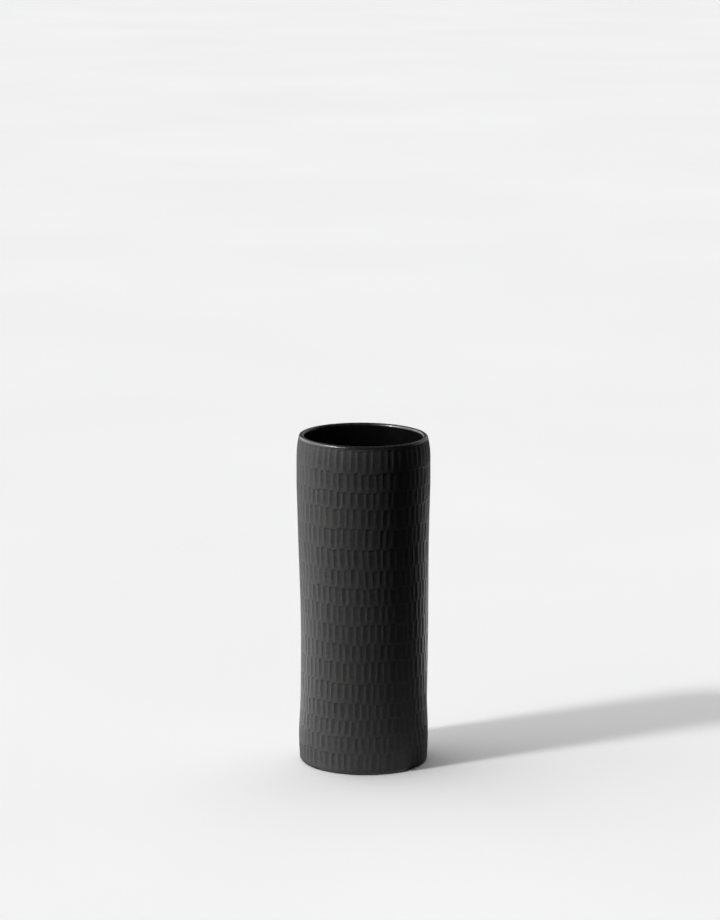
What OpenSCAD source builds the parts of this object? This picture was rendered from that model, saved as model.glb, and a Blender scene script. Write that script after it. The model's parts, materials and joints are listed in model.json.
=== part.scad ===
// Tall stoneware vase: an almost straight body, cut all over outside in rows of short
// upright gouges, with a plain rounded lip and a glossy glaze inside.
// Millimetres, +Z up, origin at the centre of the face that the vase stands on.

/* [Body] */
// Height from the standing face to the top of the lip
height = 250; // [235:1:270]
// Outer diameter at its widest, below the lip
shoulder_d = 100; // [98:0.2:103]
// Outer diameter at the waist
waist_d = 95.8; // [94:0.2:97]
// How far the lower body swells past the waist, on the radius
foot_swell = 1; // [0:0.1:1.5]
// Thickness of the floor slab
floor_t = 6; // [4:0.5:10]

/* [Lip] */
// Outer diameter of the lip
lip_d = 96.4; // [94.4:0.2:97]
// Height of the plain band at the top
lip_h = 4; // [3:0.5:6]

/* [Inside] */
// Inner diameter of the glazed mouth
mouth_d = 88.8; // [86:0.2:89.4]
// Thickness of the glaze
glaze_t = 0.6; // [0.55:0.05:0.8]
// Radius of the clay coil in the corner between wall and floor
coil_r = 5; // [3:0.5:8]

/* [Carving] */
// Number of gouges in one row
cuts = 57; // [45:1:64]
// Depth of a gouge at its middle
cut_depth = 0.45; // [0.3:0.05:0.6]

/* [Foot] */
// Height of the turned foot ring
foot_h = 4; // [3:0.5:6]
// Inner diameter of the foot ring
foot_in_d = 76; // [60:1:82]
// Radius of the foot's eased outer edge
foot_ease = 3; // [1:0.5:3]

/* [Hidden] */

clay = [0.16, 0.16, 0.165];
raw_clay = [0.24, 0.235, 0.23];
glaze = [0.03, 0.03, 0.035];

// Relative heights of the rows of gouges, from the lip down
row_parts = [16, 15, 13, 15.5, 15.5, 16, 14, 14, 14.5, 15, 14.5, 16, 16, 12.5, 13, 13, 12.5];
rows = len(row_parts);
// Turn of each row past the one above it, as a part of one gouge: laid like bricks
row_turn = 0.5;
// Width of a gouge over the pitch: past 1, so that neighbours meet in a sharp ridge
cut_overlap = 1.04;
// Plain step between two rows, and how far it lies below the floor of the gouges
step_h = 0.4;
step_in = 0.1;

shoulder_r = shoulder_d / 2;
waist_r = waist_d / 2;
lip_r = lip_d / 2;
mouth_r = mouth_d / 2;
clay_in_r = mouth_r + glaze_t;

swell_z = 20;
swell_reach = 30;
flare_z = 0.3 * height;
shoulder_z = 0.85 * height;
roll_z = 0.912 * height;
flare_power = 1.8;
roll_power = 3;

carve_top = height - lip_h;
carve_h = carve_top - foot_h;
floor_top = foot_h + floor_t;
coil_top = floor_top + coil_r;
crown_r = (lip_r - mouth_r) / 2;
crown_mid_r = mouth_r + crown_r;
crown_z = height - crown_r;
foot_bevel = 1;
round_fn = 228;
small_fn = 96;

function part_way(z, from, to) = max(0, min(1, (z - from) / (to - from)));

// Outer radius of the uncut body at a height
function body_r(z) =
    waist_r
    + foot_swell * pow(cos(90 * min(1, abs(z - swell_z) / swell_reach)), 2)
    + (shoulder_r - waist_r) * pow(part_way(z, flare_z, shoulder_z), flare_power)
    - (shoulder_r - lip_r) * pow(part_way(z, roll_z, crown_z), roll_power);

function sum_to(list, n) = n == 0 ? 0 : list[n - 1] + sum_to(list, n - 1);
// Height of the top of row i, counted from the lip down
function row_top(i) = carve_top - carve_h * sum_to(row_parts, i) / sum_to(row_parts, rows);

// Points down the uncut body from one height to another
function body_points(top, bottom, n) =
    [for (i = [0:n]) let (z = top + (bottom - top) * i / n) [body_r(z), z]];

module turned() {
    rotate_extrude($fn = round_fn) children();
}

// One row's outline: a disc of radius r whose edge is all shallow round cuts
module cut_outline(r) {
    half = 180 / cuts * cut_overlap;
    rise = cut_depth - r * (1 - cos(half));
    reach = r * sin(half);
    tool_r = (rise * rise + reach * reach) / (2 * rise);
    difference() {
        circle(r, $fn = round_fn);
        for (i = [0:cuts - 1])
            rotate(360 / cuts * i)
                translate([r - cut_depth + tool_r, 0])
                    circle(tool_r, $fn = small_fn);
    }
}

// Radius of the uncut body half way up row i
function row_r(i) = body_r((row_top(i) + row_top(i + 1)) / 2);

module row(i) {
    bottom = row_top(i + 1);
    translate([0, 0, bottom])
        linear_extrude(row_top(i) - bottom - step_h)
            rotate(360 / cuts * row_turn * i)
                cut_outline(row_r(i));
}

// The plain step above row i, which reaches 1 mm into the rows on both sides
module row_step(i) {
    r = min(row_r(max(0, i - 1)), row_r(i)) - cut_depth - step_in;
    translate([0, 0, row_top(i) - step_h - 1])
        cylinder(h = step_h + (i == 0 ? 1 : 2), r = r, $fn = round_fn);
}

// The row under the lip, which leans in with the body
module top_row() {
    bottom = row_top(1);
    intersection() {
        row(0);
        turned() polygon(concat([[0, bottom - 1], [0, carve_top]],
                                body_points(carve_top, bottom - 1, 3)));
    }
}

// The carved stoneware wall, open at both ends
module carved_wall() {
    color(clay)
        difference() {
            union() {
                top_row();
                for (i = [1:rows - 1]) row(i);
                for (i = [0:rows - 1]) row_step(i);
            }
            translate([0, 0, foot_h - 1])
                cylinder(h = carve_h + 2, r = clay_in_r, $fn = round_fn);
        }
}

// The floor, a disc of clay inside the wall, standing on the foot ring
module floor_slab() {
    color(raw_clay)
        translate([0, 0, foot_h])
            cylinder(h = floor_t, r = clay_in_r, $fn = round_fn);
}

// The turned ring that the vase stands on
module foot_ring() {
    outer = body_r(foot_h);
    inner = foot_in_d / 2;
    color(clay)
        turned()
            union() {
                polygon([[inner + foot_bevel, 0], [outer - foot_ease, 0], [outer - foot_ease, foot_ease],
                         [outer, foot_ease], [outer, foot_h], [inner, foot_h], [inner, foot_bevel]]);
                intersection() {
                    translate([outer - foot_ease, foot_ease]) circle(foot_ease, $fn = small_fn);
                    translate([outer - foot_ease, 0]) square(foot_ease);
                }
            }
}

// The coil of clay pressed into the corner between wall and floor
module corner_coil() {
    color(raw_clay)
        turned()
            difference() {
                translate([clay_in_r - coil_r, floor_top]) square(coil_r);
                translate([clay_in_r - coil_r, coil_top]) circle(coil_r, $fn = small_fn);
            }
}

// The plain lip: a short band with a half-round top under its glaze
module lip() {
    color(clay)
        turned()
            union() {
                polygon(concat([[clay_in_r, crown_z], [clay_in_r, carve_top]],
                               body_points(carve_top, crown_z, 3)));
                intersection() {
                    translate([crown_mid_r, crown_z]) circle(crown_r - glaze_t, $fn = small_fn);
                    translate([mouth_r, crown_z]) square(2 * crown_r);
                }
            }
}

// The glossy glaze on the inside of the wall
module wall_glaze() {
    color(glaze)
        difference() {
            translate([0, 0, coil_top])
                cylinder(h = crown_z - coil_top, r = clay_in_r, $fn = round_fn);
            translate([0, 0, coil_top - 1])
                cylinder(h = crown_z - coil_top + 2, r = mouth_r, $fn = round_fn);
        }
}

// The glaze on the floor, which runs up over the coil to the wall
module floor_glaze() {
    color(glaze)
        turned()
            union() {
                translate([0, floor_top]) square([clay_in_r - coil_r, glaze_t]);
                intersection() {
                    difference() {
                        translate([clay_in_r - coil_r, coil_top]) circle(coil_r, $fn = small_fn);
                        translate([clay_in_r - coil_r, coil_top]) circle(coil_r - glaze_t, $fn = small_fn);
                    }
                    translate([clay_in_r - coil_r, floor_top]) square(coil_r);
                }
            }
}

// The glaze over the top of the lip
module lip_glaze() {
    color(glaze)
        turned()
            intersection() {
                difference() {
                    translate([crown_mid_r, crown_z]) circle(crown_r, $fn = small_fn);
                    translate([crown_mid_r, crown_z]) circle(crown_r - glaze_t, $fn = small_fn);
                }
                translate([mouth_r, crown_z]) square(2 * crown_r);
            }
}

foot_ring();
floor_slab();
carved_wall();
corner_coil();
lip();
wall_glaze();
floor_glaze();
lip_glaze();
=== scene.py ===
import json
import math
import random

import bmesh
import bpy
import numpy as np
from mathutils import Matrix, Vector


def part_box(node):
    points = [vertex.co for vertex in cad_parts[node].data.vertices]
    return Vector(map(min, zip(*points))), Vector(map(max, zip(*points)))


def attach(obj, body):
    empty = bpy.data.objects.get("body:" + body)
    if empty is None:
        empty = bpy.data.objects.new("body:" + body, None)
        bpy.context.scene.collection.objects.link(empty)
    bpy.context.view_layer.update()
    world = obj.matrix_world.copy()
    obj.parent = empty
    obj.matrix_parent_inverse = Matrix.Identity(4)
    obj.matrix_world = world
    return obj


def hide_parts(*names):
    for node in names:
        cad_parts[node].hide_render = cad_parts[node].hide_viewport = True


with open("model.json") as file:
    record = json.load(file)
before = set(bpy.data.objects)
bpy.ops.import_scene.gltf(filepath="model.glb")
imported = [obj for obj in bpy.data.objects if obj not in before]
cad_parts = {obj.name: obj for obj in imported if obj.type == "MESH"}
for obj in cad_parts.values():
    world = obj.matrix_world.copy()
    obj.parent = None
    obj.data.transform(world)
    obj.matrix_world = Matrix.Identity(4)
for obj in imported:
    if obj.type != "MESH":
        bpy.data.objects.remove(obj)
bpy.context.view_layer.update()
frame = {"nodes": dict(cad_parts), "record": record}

# ---------------------------------------------------------------------------------------
# Sizes, in metres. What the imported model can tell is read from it.
# ---------------------------------------------------------------------------------------
MM = 0.001
mouth_mount = next(m for m in frame["record"]["mounts"] if m["name"] == "mouth")

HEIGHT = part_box("lip_glaze")[1].z
SHOULDER_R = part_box("carved_wall")[1].x
LIP_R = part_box("lip_glaze")[1].x
CLAY_IN_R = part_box("wall_glaze")[1].x
MOUTH_R = mouth_mount["dims"]["r_mm"] * MM
FOOT_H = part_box("foot_ring")[1].z
FLOOR_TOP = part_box("floor_slab")[1].z
COIL_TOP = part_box("corner_coil")[1].z
CARVE_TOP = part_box("lip")[0].z

GLAZE_T = CLAY_IN_R - MOUTH_R
COIL_R = COIL_TOP - FLOOR_TOP
CROWN_R = (LIP_R - MOUTH_R) / 2
CROWN_MID_R = MOUTH_R + CROWN_R
CROWN_Z = HEIGHT - CROWN_R

# The uncut body: narrow at the waist, swelling a little at the foot and out to the shoulder
WAIST_R = SHOULDER_R - 2.1 * MM
FOOT_SWELL = 1 * MM
SWELL_Z = 20 * MM
SWELL_REACH = 30 * MM
FLARE_Z = 0.3 * HEIGHT
SHOULDER_Z = 0.85 * HEIGHT
ROLL_Z = 0.912 * HEIGHT
FLARE_POWER = 1.8
ROLL_POWER = 3

# The foot ring
FOOT_IN_R = 38 * MM
FOOT_EASE = 3 * MM
FOOT_BEVEL = 1 * MM

# The rows of gouges, from the lip down
ROW_PARTS = [16, 15, 13, 15.5, 15.5, 16, 14, 14, 14.5, 15, 14.5, 16, 16, 12.5, 13, 13, 12.5]
ROWS = len(ROW_PARTS)
CUTS = 57
CUT_DEPTH = 0.4 * MM
# Height of the ledge between the end of one row and the start of the next
LEDGE_H = 0.4 * MM
# How far a ridge, and a whole row, strays from its even place, as a part of one gouge
EDGE_STRAY = 0.1
ROW_STRAY = 0.12
# How gouges differ, lowest and highest: a whole row's lean and one ridge's own, in radians over the row's
# height, a gouge's depth as a part of CUT_DEPTH, its lopsidedness, and how far down it its run-out begins
ROW_LEAN = (-0.008, 0.012)
RIDGE_LEAN = (-0.009, 0.009)
DEPTHS = (0.65, 1.2)
SKEWS = (-0.3, 0.3)
RUN_OUTS = (0.42, 0.68)
# The waves in the line where a row starts: how many go round the vase, and how high they are, in millimetres
WAVES_ROUND = (1, 2, 3, 5)
WAVE_MM = (0.1, 0.3)
# Places across one gouge, from ridge to ridge, that get a column of points
ACROSS = [-1, -0.92, -0.68, -0.35, 0, 0.35, 0.68, 0.92]
# Places down one gouge, from its sharp start to its shallow end, that get a ring of points
DOWN = [0, 0.05, 0.16, 0.3, 0.44, 0.56, 0.66, 0.74, 0.82, 0.89, 0.95, 1]
# The first row's gouges start one by one, some of them already on the lip, so it needs more near its top
DOWN_FIRST = [0, 0.03, 0.06, 0.1, 0.15] + DOWN[3:]
UP_THE_LIP = [0, 0.03, 0.06, 0.085, 0.11]
# The start of a gouge is an arch, this much lower at its sides
START_ARCH = 0.9 * MM
START_SPREAD = 0.9 * MM
# The line steps from one gouge's start to the next over this part of a gouge on each side of their ridge
START_STEP = 0.2
# The first row's gouges reach their depth over this height
START_SLOPE = 0.8 * MM
# The ridges are rubbed down by this much
WEAR = 0.045 * MM
# Faint unevenness all over the cut clay
UNEVEN = 0.02 * MM
# How much of its rise the last row's run-out still lacks where it meets the foot ring
LAST_CUT = 0.55

# How far the hand-made form strays from a true turned one
SIDE_TILT = math.tan(math.radians(0.57))
FRONT_TILT = math.tan(math.radians(0.5))
RIM_DROP = 0.45 * MM
SIDE_DRIFT = 0.8 * MM
DRIFT_TOP = 0.75 * HEIGHT
OUT_OF_ROUND = 0.0022

# The glaze's outer edge on the lip: how far it wavers, how much lower it hangs, and where its arc starts
EDGE_WAVER = 0.35 * MM
EDGE_DROP = 0.25 * MM
EDGE_START_DEG = -6

# The soft rings that turning left in the wall, under the glaze: a main spiral and a finer one, and the
# heights over which they fade in above the coil and out below the lip
RING_DEPTH = 0.09 * MM
RING_PITCH = 9 * MM
FINE_RING_PITCH = 5.3 * MM
RINGS_FADE_IN = 30 * MM
RINGS_FADE_OUT = 20 * MM

# The low spiral in the floor's glaze, which fades out at its middle and its edge
SPIRAL_DEPTH = 0.18 * MM
SPIRAL_PITCH = 7 * MM
SPIRAL_FADE = 6 * MM

# Columns of points round a turned piece
LATHE_COLUMNS = 320
FULL_TURN = 2 * math.pi


# ---------------------------------------------------------------------------------------
# Form
# ---------------------------------------------------------------------------------------
def part_way(value, start, end):
    """0 at start, 1 at end, held outside."""
    return np.clip((value - start) / (end - start), 0, 1)


def ease(t):
    return t * t * (3 - 2 * t)


def body_r(z):
    """Outer radius of the uncut body at height z."""
    swell = np.cos(math.pi / 2 * np.minimum(1, np.abs(z - SWELL_Z) / SWELL_REACH)) ** 2
    flare = part_way(z, FLARE_Z, SHOULDER_Z) ** FLARE_POWER
    roll = part_way(z, ROLL_Z, CROWN_Z) ** ROLL_POWER
    return WAIST_R + FOOT_SWELL * swell + (SHOULDER_R - WAIST_R) * flare - (SHOULDER_R - LIP_R) * roll


def hand_made(points):
    """Leans, drifts and ovals true turned points a little, more towards the rim."""
    x, y, z = points.T
    turn = np.arctan2(y, x)
    up = ease(part_way(z, COIL_TOP, HEIGHT))
    # Two lobes and three fainter ones, each turned to an angle of its own
    oval = OUT_OF_ROUND * up * (np.cos(2 * turn + 0.9) + 0.35 * np.cos(3 * turn + 2.0))
    drift = SIDE_DRIFT * np.sin(math.pi * part_way(z, COIL_TOP, DRIFT_TOP)) ** 2
    rim = FRONT_TILT * y - SIDE_TILT * x - RIM_DROP
    return np.column_stack((x * (1 + oval) + drift, y * (1 + oval), z + rim * up))


def polar(turn, r, z):
    """Points from angle, radius and height."""
    turn, r, z = np.broadcast_arrays(turn, r, z)
    return np.column_stack((r * np.cos(turn), r * np.sin(turn), z))


def strip(low_start, high_start, columns):
    """Quads between two rings that have the same columns."""
    k = np.arange(columns)
    after = (k + 1) % columns
    return np.column_stack((high_start + k, low_start + k, low_start + after, high_start + after)).tolist()


def zipper(high_start, high_turn, low_start, low_turn):
    """Triangles between two rings whose columns stand at different angles."""
    high = np.sort(np.mod(high_turn, FULL_TURN))
    low = np.sort(np.mod(low_turn, FULL_TURN))
    high_at = high_start + np.argsort(np.mod(high_turn, FULL_TURN))
    low_at = low_start + np.argsort(np.mod(low_turn, FULL_TURN))
    faces = []
    i = j = 0
    while i < len(high) or j < len(low):
        next_high = high[i + 1] if i + 1 < len(high) else high[0] + FULL_TURN
        next_low = low[j + 1] if j + 1 < len(low) else low[0] + FULL_TURN
        a, b = high_at[i % len(high)], low_at[j % len(low)]
        if j >= len(low) or (i < len(high) and next_high <= next_low):
            faces.append((int(a), int(b), int(high_at[(i + 1) % len(high)])))
            i += 1
        else:
            faces.append((int(a), int(b), int(low_at[(j + 1) % len(low)])))
            j += 1
    return faces


def make_mesh(name, points, faces, relief=None, sharp_deg=32):
    """A smooth-shaded piece; relief is 0 in the floor of a cut and 1 on an uncut surface."""
    mesh = bpy.data.meshes.new(name)
    mesh.from_pydata(points.tolist(), [], faces)
    facing = bmesh.new()
    facing.from_mesh(mesh)
    bmesh.ops.recalc_face_normals(facing, faces=facing.faces)
    facing.to_mesh(mesh)
    facing.free()
    if relief is not None:
        layer = mesh.attributes.new("relief", "FLOAT", "POINT")
        layer.data.foreach_set("value", np.asarray(relief, dtype=np.float32))
    mesh.shade_smooth()
    mesh.set_sharp_from_angle(angle=math.radians(sharp_deg))
    piece = bpy.data.objects.new(name, mesh)
    bpy.context.scene.collection.objects.link(piece)
    return piece


def even_turns():
    """The angles of a turned piece's columns."""
    return np.linspace(0, FULL_TURN, LATHE_COLUMNS, endpoint=False)


def lathe(name, outline, shift=None, sharp_deg=32, turn=None):
    """Turns an outline of (r, z) points into a closed piece. The outline is a loop, or runs from axis to
    axis. shift(i, turn, ring) may move the points of ring i, and turn may give the columns' own angles."""
    if turn is None:
        turn = even_turns()
    columns = len(turn)
    on_axis = outline[0][0] == 0
    poles = [outline[0], outline[-1]] if on_axis else []
    loop = outline[1:-1] if on_axis else outline
    points = []
    for i, (r, z) in enumerate(loop):
        ring = polar(turn, r, z)
        points.append(shift(i, turn, ring) if shift else ring)
    points += [np.array([[0, 0, z]]) for _, z in poles]
    faces = []
    for i in range(len(loop) - 1 if on_axis else len(loop)):
        faces += strip(i * columns, (i + 1) % len(loop) * columns, columns)
    for k in range(len(poles)):
        pole = len(loop) * columns + k
        ring_start = (0, (len(loop) - 1) * columns)[k]
        faces += [(pole, ring_start + c, ring_start + (c + 1) % columns) for c in range(columns)]
    return make_mesh(name, hand_made(np.concatenate(points)), faces, sharp_deg=sharp_deg)


def arc(mid_r, mid_z, radius, start_deg, end_deg, steps):
    """Points of an arc in the (r, z) plane."""
    angles = np.radians(np.linspace(start_deg, end_deg, steps + 1))
    return [(mid_r + radius * math.cos(a), mid_z + radius * math.sin(a)) for a in angles]


# ---------------------------------------------------------------------------------------
# Carved wall
# ---------------------------------------------------------------------------------------
def row_top(i):
    """Height of the top of row i before it wavers."""
    return CARVE_TOP - (CARVE_TOP - FOOT_H) * sum(ROW_PARTS[:i]) / sum(ROW_PARTS)


def make_row(rng, i):
    """One row's gouges, laid like bricks over the row above. Their widths, depths, leans and ends all differ
    a little, as the hand that cut them did."""
    def each(low, high):
        return np.array([rng.uniform(low, high) for _ in range(CUTS)])

    places = np.arange(CUTS) + 0.5 * (i % 2) + each(-EDGE_STRAY, EDGE_STRAY)
    drift = ROW_STRAY * rng.uniform(-1, 1)
    edges = FULL_TURN / CUTS * (np.append(places, places[0] + CUTS) + drift)
    row_lean = rng.uniform(*ROW_LEAN)
    ridge_lean = each(*RIDGE_LEAN)
    return {
        "edges": edges,
        "lean": row_lean + np.append(ridge_lean, ridge_lean[0]),
        "depth": CUT_DEPTH * each(*DEPTHS),
        "skew": each(*SKEWS),
        "run_out": each(*RUN_OUTS),
        "start": START_SPREAD * each(-1, 1),
        "waves": [(n, rng.uniform(0, FULL_TURN), MM * rng.uniform(*WAVE_MM)) for n in WAVES_ROUND],
    }


def row_line(rows, i, turn):
    """Height at which row i starts, at each angle: it wavers, steps from gouge to gouge and arches over
    each."""
    if i == 0:
        return np.full_like(turn, CARVE_TOP)
    if i == ROWS:
        return np.full_like(turn, FOOT_H)
    row = rows[i]
    edges = row["edges"]
    gouge = np.interp(edges[0] + np.mod(turn - edges[0], FULL_TURN), edges, np.arange(CUTS + 1))
    across = 2 * np.mod(gouge, 1) - 1
    side = START_STEP * np.diff(edges)
    places = np.column_stack((edges[:-1] + side, edges[1:] - side)).ravel()
    line = row_top(i) + np.interp(turn, places, np.repeat(row["start"], 2), period=FULL_TURN)
    line = line - START_ARCH * (across ** 2 - 0.5)
    for n, phase, size in row["waves"]:
        line = line + size * np.sin(n * turn + phase)
    return line


def gouge_ring(rows, i, t):
    """Angles, heights, radii and relief of one ring of points, a part t of the way down row i. A negative t
    is above the row, on the lip."""
    row = rows[i]
    across = np.array(ACROSS)
    half = np.diff(row["edges"])[:, None] / 2
    left_lean, right_lean = row["lean"][:-1, None], row["lean"][1:, None]
    side = (across + 1) / 2
    turn = row["edges"][:-1, None] + half * (across + 1) + t * (left_lean * (1 - side) + right_lean * side)
    turn = turn.ravel()
    top, bottom = row_line(rows, i, turn), row_line(rows, i + 1, turn)
    if i > 0:
        top = top - LEDGE_H
    z = top + t * (bottom - top)
    # The tool cuts in sharply, runs level, and rises out in a curve
    rise = part_way(t, row["run_out"], 1)[:, None] ** 2
    if i == 0:
        down = CROWN_Z - z.reshape(CUTS, -1)
        begin = START_SPREAD + row["start"][:, None] + START_ARCH * across ** 2
        rise = np.maximum(rise, 1 - part_way(down, begin, begin + START_SLOPE))
    if i == ROWS - 1:
        rise = rise * (1 - LAST_CUT)
    # Round across, and 1 at both ridges
    bowl = across + row["skew"][:, None] * (1 - across ** 2)
    deep = row["depth"][:, None]
    depth = np.maximum(WEAR, deep * (1 - rise - bowl ** 2)).ravel()
    depth = depth + UNEVEN * np.sin(7 * turn + 900 * z) * np.sin(11 * turn - 640 * z)
    return turn, z, body_r(z) - depth, 1 - depth / CUT_DEPTH


def carved_wall(rows):
    """The wall: rings of points down the rows of gouges outside, and a plain tube inside."""
    columns = CUTS * len(ACROSS)
    points, relief, faces = [], [], []
    count = 0
    first_turn = last_turn = None
    for i in range(ROWS):
        for n, t in enumerate(DOWN_FIRST if i == 0 else DOWN):
            turn, z, r, raised = gouge_ring(rows, i, t)
            if n == 0 and i > 0:
                faces += zipper(count - columns, last_turn, count, turn)
            elif n > 0:
                faces += strip(count, count - columns, columns)
            if first_turn is None:
                first_turn = turn
            last_turn = turn
            points.append(polar(turn, r, z))
            relief.append(raised)
            count += columns
    # The inside and the two flat ends close the wall
    inner = even_turns()
    low_in = count
    high_in = count + LATHE_COLUMNS
    for z in (FOOT_H, CARVE_TOP):
        points.append(polar(inner, CLAY_IN_R, z))
        relief.append(np.ones(LATHE_COLUMNS))
    faces += zipper(count - columns, last_turn, low_in, inner)
    faces += strip(high_in, low_in, LATHE_COLUMNS)
    faces += zipper(high_in, inner, 0, first_turn)
    return make_mesh("carved_wall_clay", hand_made(np.concatenate(points)), faces,
                     np.concatenate(relief), sharp_deg=30)


# ---------------------------------------------------------------------------------------
# Turned pieces
# ---------------------------------------------------------------------------------------
def lip_band(rows):
    """The band over the carved wall, rounded at the top. The first gouges start on its outer side."""
    starts = [gouge_ring(rows, 0, -t) for t in UP_THE_LIP]
    outside = [(float(r.mean()), float(z.mean())) for _, z, r, _ in starts]
    crown = arc(CROWN_MID_R, CROWN_Z, CROWN_R - GLAZE_T, 0, 180, 16)
    ledge = [(LIP_R, CROWN_Z)]
    inside = [(CLAY_IN_R, CARVE_TOP)]

    def first_cuts(i, turn, ring):
        if i < len(starts):
            turn, z, r, _ = starts[i]
            ring = polar(turn, r, z)
        return ring

    return lathe("lip_clay", outside + ledge + crown + inside, first_cuts, turn=starts[0][0])


def lip_roll():
    """The glaze over the crown of the lip. Its outer edge wavers and thins to nothing."""
    steps = 22
    edge_steps = 5
    over = arc(CROWN_MID_R, CROWN_Z, CROWN_R, EDGE_START_DEG, 180, steps)
    under = arc(CROWN_MID_R, CROWN_Z, CROWN_R - GLAZE_T, 180, 0, steps)

    def waver(i, turn, ring):
        line = EDGE_WAVER * (np.sin(3 * turn + 1) + 0.6 * np.sin(7 * turn + 2) + 0.35 * np.sin(17 * turn))
        sag = max(0, 1 - i / edge_steps) if i <= steps else 0
        ring[:, 2] += sag * (line - EDGE_DROP)
        return ring

    return lathe("lip_glaze_roll", over + under, waver, sharp_deg=50)


def wall_lining():
    """The glaze inside: a thin tube with the soft rings that turning leaves."""
    rings = 130
    heights = np.linspace(COIL_TOP, CROWN_Z, rings)
    inside = [(MOUTH_R, z) for z in heights[::-1]]
    outside = [(CLAY_IN_R, COIL_TOP), (CLAY_IN_R, CROWN_Z)]

    def throwing_rings(i, turn, ring):
        if i >= rings:
            return ring
        z = ring[:, 2]
        low_fade = ease(part_way(z, COIL_TOP, COIL_TOP + RINGS_FADE_IN))
        high_fade = ease(part_way(z, CROWN_Z, CROWN_Z - RINGS_FADE_OUT))
        spiral = np.sin(FULL_TURN * z / RING_PITCH + turn)
        fine_spiral = 0.5 * np.sin(FULL_TURN * z / FINE_RING_PITCH + turn + 1)
        slack = 0.6 * np.sin(2 * turn + 40 * z)
        grow = 1 - low_fade * high_fade * RING_DEPTH * (spiral + fine_spiral + slack) / MOUTH_R
        ring[:, 0] *= grow
        ring[:, 1] *= grow
        return ring

    return lathe("glaze_lining", inside + outside, throwing_rings)


def floor_pool():
    """The glaze on the floor, with a low spiral in it, and up over the coil."""
    flat_r = CLAY_IN_R - COIL_R
    radii = np.linspace(0, flat_r, 60)
    top = [(r, FLOOR_TOP + GLAZE_T) for r in radii]
    bend = arc(flat_r, COIL_TOP, COIL_R - GLAZE_T, -90, 0, 12)[1:]
    back = arc(flat_r, COIL_TOP, COIL_R, 0, -90, 12)

    def spiral(i, turn, ring):
        if i < len(top) - 1:
            r = radii[i + 1]
            fade = ease(part_way(r, 0, SPIRAL_FADE)) * ease(part_way(r, flat_r, flat_r - SPIRAL_FADE))
            ring[:, 2] += SPIRAL_DEPTH * fade * np.sin(FULL_TURN * r / SPIRAL_PITCH - turn)
        return ring

    return lathe("glaze_pool", top + bend + back + [(0, FLOOR_TOP)], spiral)


def foot(rows):
    """The turned ring under the wall, its outer edge eased and its inner one bevelled. The last gouges fade
    out down its outer side, and the clay is bare underneath and inside."""
    turn, _, radii, _ = gouge_ring(rows, ROWS - 1, 1)
    cut = float(body_r(FOOT_H)) - radii
    outer = float(body_r(FOOT_H))
    ease_r = outer - FOOT_EASE
    outline = [(FOOT_IN_R, FOOT_H), (FOOT_IN_R, FOOT_BEVEL), (FOOT_IN_R + FOOT_BEVEL, 0)]
    outline += [(r, 0) for r in np.linspace(FOOT_IN_R + 2 * FOOT_BEVEL, ease_r - 1 * MM, 4)]
    outline += arc(ease_r, FOOT_EASE, FOOT_EASE, -90, 0, 14)
    outline += [(outer, FOOT_H)]

    def last_cuts(i, turn, ring):
        r, z = outline[i]
        if r > ease_r:
            ring[:, :2] *= 1 - (z / FOOT_H * cut / r)[:, None]
        return ring

    piece = lathe("foot_ring_clay", outline, last_cuts, turn=turn)
    piece.data.materials.append(carved_clay)
    piece.data.materials.append(bare_clay)
    for face in piece.data.polygons:
        face.material_index = int(math.hypot(face.center.x, face.center.y) < ease_r or face.normal.z < -0.9)
    return piece


# ---------------------------------------------------------------------------------------
# Materials
# ---------------------------------------------------------------------------------------
class Shader:
    """A material's node tree, with short ways to add the nodes used here."""

    def __init__(self, name):
        self.material = bpy.data.materials.new(name)
        self.material.use_nodes = True
        self.tree = self.material.node_tree
        self.surface = self.tree.nodes["Principled BSDF"]
        self.place = self.add("ShaderNodeTexCoord").outputs["Object"]

    def add(self, kind, inputs=None, **settings):
        node = self.tree.nodes.new(kind)
        for key, value in settings.items():
            setattr(node, key, value)
        for key, value in (inputs or {}).items():
            if isinstance(value, bpy.types.NodeSocket):
                self.tree.links.new(value, node.inputs[key])
            else:
                node.inputs[key].default_value = value
        return node

    def stretched(self, scale):
        return self.add("ShaderNodeMapping", {"Vector": self.place, "Scale": scale}).outputs["Vector"]

    def noise(self, scale, detail=2.0, roughness=0.5, place=None):
        """Noise whose features are about 1 / scale metres across."""
        inputs = {"Vector": place or self.place, "Scale": scale, "Detail": detail, "Roughness": roughness}
        return self.add("ShaderNodeTexNoise", inputs).outputs["Fac"]

    def relief(self):
        return self.add("ShaderNodeAttribute", attribute_name="relief").outputs["Fac"]

    def span(self, value, low, high, to_low=0.0, to_high=1.0):
        inputs = {"Value": value, "From Min": low, "From Max": high, "To Min": to_low, "To Max": to_high}
        return self.add("ShaderNodeMapRange", inputs).outputs["Result"]

    def mix(self, factor, a, b):
        node = self.add("ShaderNodeMix", data_type="RGBA")
        for socket, value in ((node.inputs[0], factor), (node.inputs[6], a), (node.inputs[7], b)):
            if isinstance(value, bpy.types.NodeSocket):
                self.tree.links.new(value, socket)
            else:
                socket.default_value = value if socket == node.inputs[0] else (*value, 1)
        return node.outputs[2]

    def bump(self, height, distance, strength=1.0, under=None):
        inputs = {"Height": height, "Distance": distance, "Strength": strength}
        if under:
            inputs["Normal"] = under
        return self.add("ShaderNodeBump", inputs).outputs["Normal"]

    def set(self, **sockets):
        for key, value in sockets.items():
            socket = self.surface.inputs[key.replace("_", " ")]
            if isinstance(value, bpy.types.NodeSocket):
                self.tree.links.new(value, socket)
            else:
                socket.default_value = value


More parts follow.
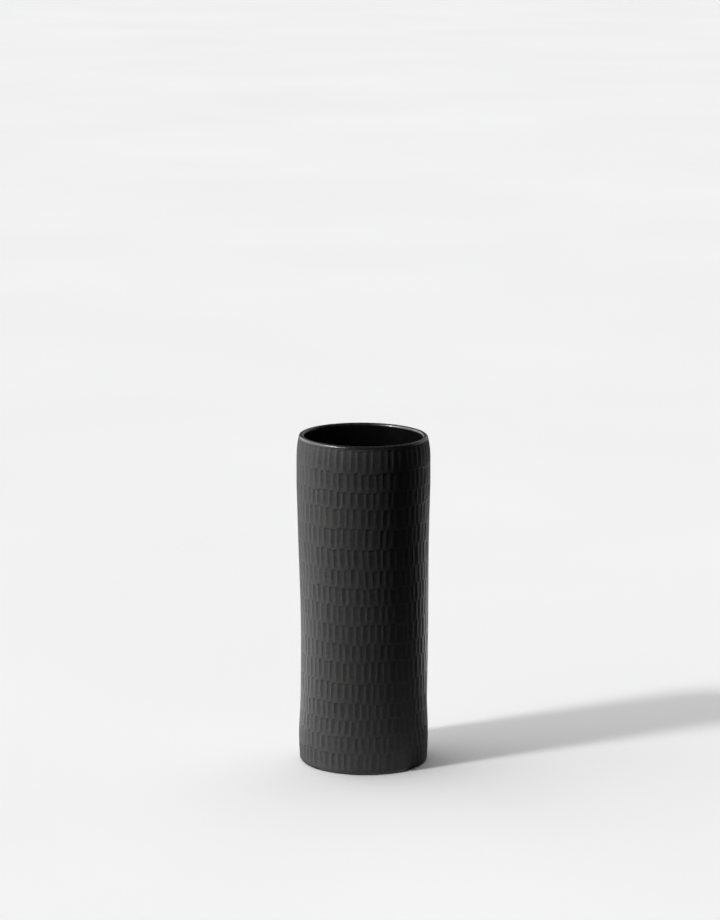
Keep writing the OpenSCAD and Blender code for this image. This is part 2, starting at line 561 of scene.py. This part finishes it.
def black_stoneware(name, dark, light, rough, ridge_wear_and_painted_shade=True):
    """Unglazed black clay: fine grog, drag marks down the cuts, paler dust in the grain and, on the outside
    of the vase, ridges paler (partly rubbed wear, partly painted highlight) and painted shade in the
    hollows."""
    def lighter(times):
        return tuple(c * times for c in light)

    s = Shader(name)
    # Broad clouding
    colour = s.mix(s.span(s.noise(28, 3), 0.35, 0.65), dark, light)
    # Mottling a few millimetres across, then warmer patches
    colour = s.mix(s.span(s.noise(430, 4, 0.75), 0.4, 0.62, 0, 0.55), colour, lighter(1.9))
    warm = (light[0] * 1.25, light[1] * 1.12, light[2] * 0.95)
    colour = s.mix(s.span(s.noise(190, 2), 0.4, 0.62, 0, 0.2), colour, warm)
    # Dust in the grain, and a few pale flecks of grog
    grain = s.noise(2600, 3, 0.6)
    colour = s.mix(s.span(grain, 0.42, 0.72, 0, 0.4), colour, lighter(1.7))
    colour = s.mix(s.span(s.noise(1150, 1, 0.4), 0.7, 0.76, 0, 0.4), colour, (0.07, 0.065, 0.055))
    roughness = s.span(grain, 0.3, 0.7, rough - 0.06, rough + 0.08)
    if ridge_wear_and_painted_shade:
        # Ridges paler: partly rubbed wear, partly a painted highlight that brings out the cuts.
        colour = s.mix(s.span(s.relief(), 0.75, 1, 0, 0.36), colour, lighter(1.9))
        # Painted shade: the hollows of the cuts are darkened. Pieces without relief, such as the lip band
        # and the foot, read 0 and get this painted shade evenly.
        colour = s.mix(s.span(s.relief(), 0.5, 0, 0, 0.22), colour, tuple(c * 0.4 for c in dark))
    # Drag marks run down the cuts, under the grain and a coarser unevenness
    drag = s.noise(1000, 3, 0.6, s.stretched((1, 1, 0.07)))
    normal = s.bump(drag, 0.09 * MM, 0.9)
    normal = s.bump(grain, 0.05 * MM, 0.9, normal)
    normal = s.bump(s.noise(700, 2), 0.06 * MM, 0.6, normal)
    s.set(Base_Color=colour, Roughness=roughness, Normal=normal)
    return s.material


def black_glaze(name, thick, thin, rough, coat, coat_rough, wavy):
    """Black glaze, gently uneven, with faint clouding where it lies thin. rough is its lowest and highest
    roughness, and wavy the height of its small waves."""
    s = Shader(name)
    colour = s.mix(s.span(s.noise(45, 3), 0.35, 0.7), thick, thin)
    roughness = s.span(s.noise(260, 3), 0.35, 0.65, *rough)
    normal = s.bump(s.noise(150, 2), 0.12 * MM, 0.5)
    normal = s.bump(s.noise(420, 2), wavy, 1, normal)
    s.set(Base_Color=colour, Roughness=roughness, Normal=normal, IOR=1.6)
    s.set(Coat_Weight=coat, Coat_Roughness=coat_rough)
    return s.material


carved_clay = black_stoneware("carved_clay", dark=(0.024, 0.024, 0.025), light=(0.033, 0.0325, 0.0325),
                              rough=0.6)
bare_clay = black_stoneware("bare_clay", dark=(0.05, 0.047, 0.043), light=(0.066, 0.06, 0.054),
                            rough=0.8, ridge_wear_and_painted_shade=False)
gloss_glaze = black_glaze("gloss_glaze", thick=(0.004, 0.004, 0.0045), thin=(0.008, 0.0078, 0.0078),
                          rough=(0.1, 0.2), coat=0.5, coat_rough=0.04, wavy=0.02 * MM)
lip_gloss = black_glaze("lip_glaze", thick=(0.01, 0.01, 0.011), thin=(0.018, 0.0175, 0.017),
                        rough=(0.24, 0.34), coat=1, coat_rough=0.3, wavy=0.28 * MM)

# ---------------------------------------------------------------------------------------
# The vase
# ---------------------------------------------------------------------------------------
hand = random.Random(17)
rows = [make_row(hand, i) for i in range(ROWS)]

# Each piece, the CAD node that it stands for, its material, and the record's slot. The foot has its two
# clays already.
PIECES = [
    (carved_wall(rows), "carved_wall", carved_clay, "carved_clay"),
    (lip_band(rows), "lip", carved_clay, "carved_clay"),
    (lip_roll(), "lip_glaze", lip_gloss, "lip_glaze"),
    (wall_lining(), "wall_glaze", gloss_glaze, "gloss_glaze"),
    (floor_pool(), "floor_glaze", gloss_glaze, "gloss_glaze"),
    (foot(rows), "foot_ring", None, "carved_clay"),
]
for piece, node, material, slot in PIECES:
    if material:
        piece.data.materials.append(material)
    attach(piece, "root")
    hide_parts(node)

for node in ("floor_slab", "corner_coil"):
    for material_slot in frame["nodes"][node].material_slots:
        material_slot.material = bare_clay


# ---------------------------------------------------------------------------------------
# Stage, light and camera
# ---------------------------------------------------------------------------------------
# The studio's bright places seen from the vase: which way each lies, how far from there its edge fades out
# and becomes full, as cosines, and how bright it is
GLOWS = {
    "window": ((-0.8, -0.3, 0.52), 0.78, 0.95, 0.6),
    "left wall": ((-0.94, 0.3, 0.15), 0.5, 0.9, 1.45),
    "right wall": ((0.6, 0.78, 0.1), 0.7, 0.92, 0.28),
}
# Brightness of the rest of the room, and of the backdrop that the camera sees
DIM = 0.01
BACKDROP = 0.86
# How far the floor reaches each way
FLOOR_REACH = 40

# The camera's lens and sensor in millimetres, its place, and how far down it looks
LENS = 131
SENSOR = 36
CAMERA_AT = (-0.0026, -2.449, 0.7106)
CAMERA_DOWN_DEG = 11.1


def pale_floor():
    """A plain, wide floor, which takes the shadow and throws no light up at the black clay."""
    s = Shader("pale_floor")
    colour = s.mix(s.span(s.noise(1.5, 2), 0.3, 0.7), (0.86, 0.86, 0.86), (0.89, 0.89, 0.89))
    s.set(Base_Color=colour, Roughness=0.9, Specular_IOR_Level=0.1)
    mesh = bpy.data.meshes.new("floor")
    corners = [(x * FLOOR_REACH, y * FLOOR_REACH, 0) for x, y in ((-1, -1), (1, -1), (1, 1), (-1, 1))]
    mesh.from_pydata(corners, [], [(0, 1, 2, 3)])
    floor = bpy.data.objects.new("floor", mesh)
    mesh.materials.append(s.material)
    bpy.context.scene.collection.objects.link(floor)
    floor.visible_diffuse = False
    floor.visible_glossy = False


def studio():
    """A dim room with a few soft bright places, which light the vase and show in its glaze. The camera sees
    a plain backdrop instead."""
    world = bpy.data.worlds.new("studio")
    bpy.context.scene.world = world
    world.use_nodes = True
    tree = world.node_tree
    way = tree.nodes.new("ShaderNodeTexCoord")
    light = None
    for direction, edge, full, strength in GLOWS.values():
        towards = tree.nodes.new("ShaderNodeVectorMath")
        towards.operation = "DOT_PRODUCT"
        tree.links.new(way.outputs["Generated"], towards.inputs[0])
        towards.inputs[1].default_value = direction
        ramp = tree.nodes.new("ShaderNodeMapRange")
        ramp.interpolation_type = "SMOOTHSTEP"
        tree.links.new(towards.outputs["Value"], ramp.inputs["Value"])
        ramp.inputs["From Min"].default_value = edge
        ramp.inputs["From Max"].default_value = full
        ramp.inputs["To Max"].default_value = strength
        total = tree.nodes.new("ShaderNodeMath")
        tree.links.new(ramp.outputs["Result"], total.inputs[0])
        total.inputs[1].default_value = DIM
        if light:
            tree.links.new(light, total.inputs[1])
        light = total.outputs["Value"]
    ray = tree.nodes.new("ShaderNodeLightPath")
    seen = tree.nodes.new("ShaderNodeMix")
    tree.links.new(ray.outputs["Is Camera Ray"], seen.inputs["Factor"])
    tree.links.new(light, seen.inputs["A"])
    seen.inputs["B"].default_value = BACKDROP
    background = tree.nodes["Background"]
    background.inputs["Color"].default_value = (1, 1, 1, 1)
    tree.links.new(seen.outputs["Result"], background.inputs["Strength"])


def far_light(name, energy, width, side, up):
    """A lamp as far off as the sun. width is its breadth in the sky, side its bearing from the front, and up
    its height, all in degrees."""
    data = bpy.data.lights.new(name, "SUN")
    data.energy = energy
    data.angle = math.radians(width)
    light = bpy.data.objects.new(name, data)
    light.rotation_euler = (math.radians(90 - up), 0, math.radians(side))
    bpy.context.scene.collection.objects.link(light)
    return light


def floor_light(name, x, y, width, length, energy):
    """What a patch of the pale floor would throw back at the vase: a lamp that lies there and shines up."""
    data = bpy.data.lights.new(name, "AREA")
    data.shape = "RECTANGLE"
    data.size = width
    data.size_y = length
    data.energy = energy
    light = bpy.data.objects.new(name, data)
    light.location = (x, y, 0.0005)
    light.rotation_euler = (math.pi, 0, 0)
    light.visible_camera = False
    bpy.context.scene.collection.objects.link(light)


def camera():
    """A long lens a little above the vase, which stands low in the frame."""
    data = bpy.data.cameras.new("camera")
    data.sensor_width = SENSOR
    data.lens = LENS
    eye = bpy.data.objects.new("camera", data)
    eye.location = CAMERA_AT
    eye.rotation_euler = (math.radians(90 - CAMERA_DOWN_DEG), 0, 0)
    bpy.context.scene.collection.objects.link(eye)
    bpy.context.scene.camera = eye


pale_floor()
studio()
far_light("key", energy=1.85, width=7, side=-62, up=37)
ceiling = far_light("ceiling", energy=1.25, width=60, side=180, up=68)
# The glaze doesn't mirror the ceiling
ceiling.visible_glossy = False
floor_light("floor_in_front", x=0.09, y=-0.08, width=0.28, length=0.09, energy=0.036)
floor_light("floor_behind", x=0.2, y=0.4, width=0.3, length=0.4, energy=2.4)
floor_light("floor_beside", x=-0.2, y=0.2, width=0.25, length=0.3, energy=0.55)
camera()
bpy.context.scene.view_settings.view_transform = "Standard"
